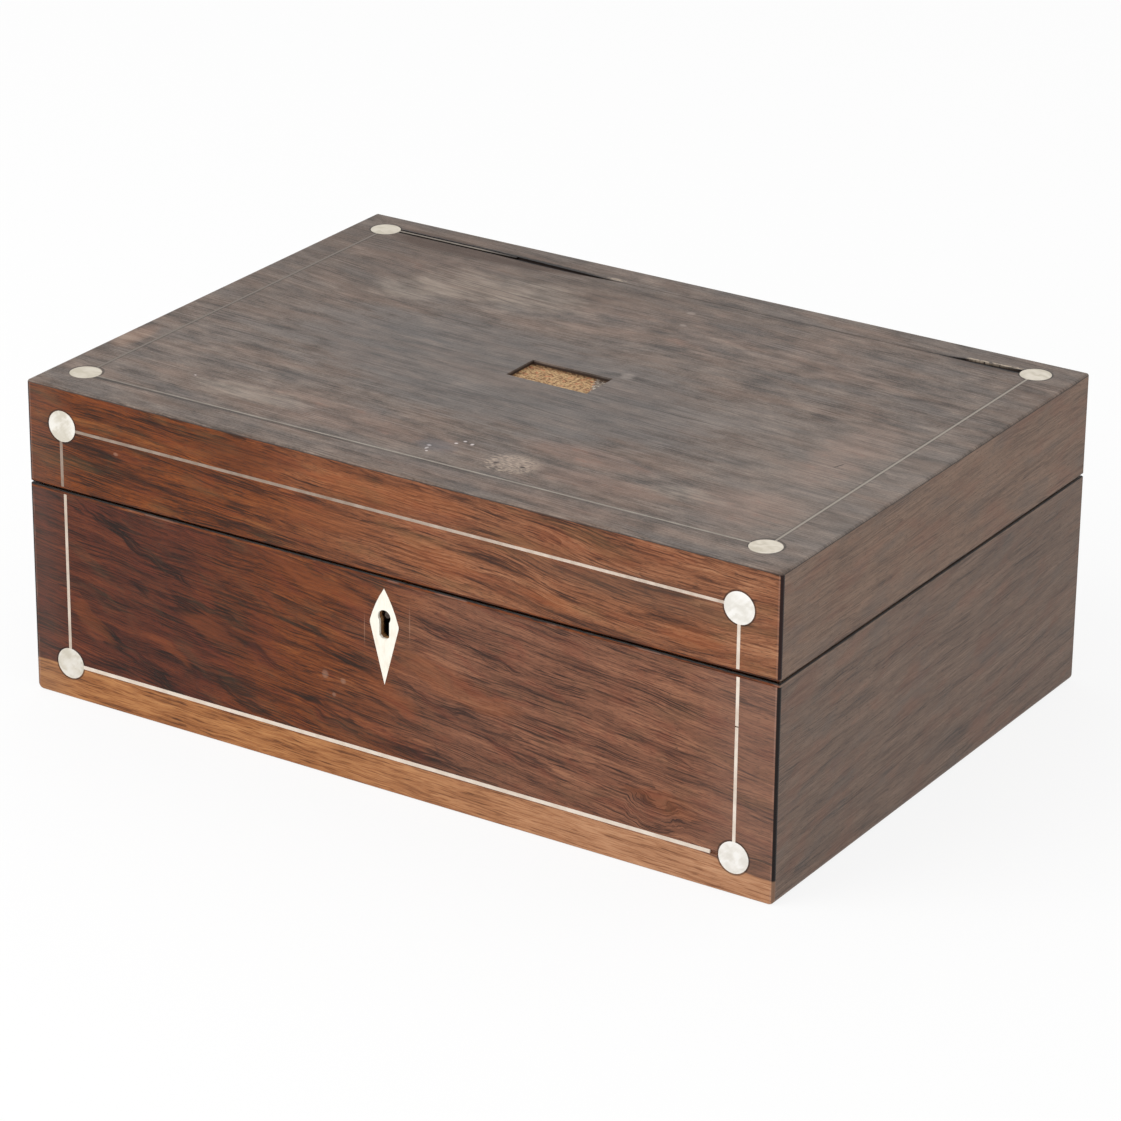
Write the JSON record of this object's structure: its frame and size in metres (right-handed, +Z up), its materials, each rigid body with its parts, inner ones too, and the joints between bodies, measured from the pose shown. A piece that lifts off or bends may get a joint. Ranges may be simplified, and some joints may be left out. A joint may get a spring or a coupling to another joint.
{
  "type": "hinged lidded box",
  "caption": "Low rectangular wooden box with a hinged lid, a flush front lock with a sliding bolt, inlaid lines and round inlays at the corners.",
  "frame": {"origin": "centre of the underside", "axes": "+Z up, +X to the right seen from the front, -Y to the front with the keyhole"},
  "size_m": [0.3, 0.211, 0.1165],
  "materials": {
    "pine": "aged bare pine",
    "rosewood": "old polished rosewood veneer",
    "rosewood_top": "faded dull rosewood veneer",
    "mother_of_pearl": "polished mother of pearl",
    "boxwood_string": "pale inlaid line",
    "top_string": "worn grey inlaid line",
    "bone": "polished bone",
    "brass": "tarnished brass",
    "iron": "dark iron",
    "silk": "padded silk",
    "velvet": "silk velvet on card"
  },
  "bodies": {
    "base": {"back_board": "pine", "back_facing": "rosewood", "back_lining": "velvet", "back_veneer": "rosewood", "base_discs": "mother_of_pearl", "base_screws": "brass", "base_upright_strings": "boxwood_string", "bottom_board": "pine", "bottom_brads": "iron", "escutcheon": "bone", "floor_lining": "velvet", "foot_string": "boxwood_string", "front_board": "pine", "front_facing": "rosewood", "front_lining": "velvet", "front_veneer": "rosewood", "hinge_pins": "iron", "key_pin": "iron", "left_board": "pine", "left_facing": "rosewood", "left_veneer": "rosewood", "lock_cap": "brass", "lock_case": "brass", "lower_leaves": "brass", "right_board": "pine", "right_facing": "rosewood", "right_veneer": "rosewood", "side_linings": "velvet"},
    "lid": {"lid_back_board": "pine", "lid_back_facing": "rosewood", "lid_back_veneer": "rosewood", "lid_discs": "mother_of_pearl", "lid_front_board": "pine", "lid_front_facing": "rosewood", "lid_front_string": "boxwood_string", "lid_front_veneer": "rosewood", "lid_left_board": "pine", "lid_left_facing": "rosewood", "lid_left_veneer": "rosewood", "lid_linings": "velvet", "lid_pad": "silk", "lid_right_board": "pine", "lid_right_facing": "rosewood", "lid_right_veneer": "rosewood", "lid_screws": "brass", "lid_top_board": "pine", "lid_upright_strings": "boxwood_string", "link_plate": "brass", "top_back_band": "rosewood_top", "top_back_string": "top_string", "top_discs": "mother_of_pearl", "top_front_band": "rosewood_top", "top_left_band": "rosewood_top", "top_panel": "rosewood_top", "top_right_band": "rosewood_top", "top_strings": "top_string", "upper_leaves": "brass"},
    "bolt": {"lock_bolt": "brass", "bolt_spring": "iron"}
  },
  "joints": [
    {"name": "lid_hinge", "type": "hinge", "parent": "base", "child": "lid", "pos_m": [0, 0.1037, 0.0787], "axis": [-1, 0, 0], "range_deg": [0, 98]},
    {"name": "lock_bolt_slide", "type": "slide", "parent": "base", "child": "bolt", "axis": [1, 0, 0], "range_m": [0, 0.004]}
  ]
}
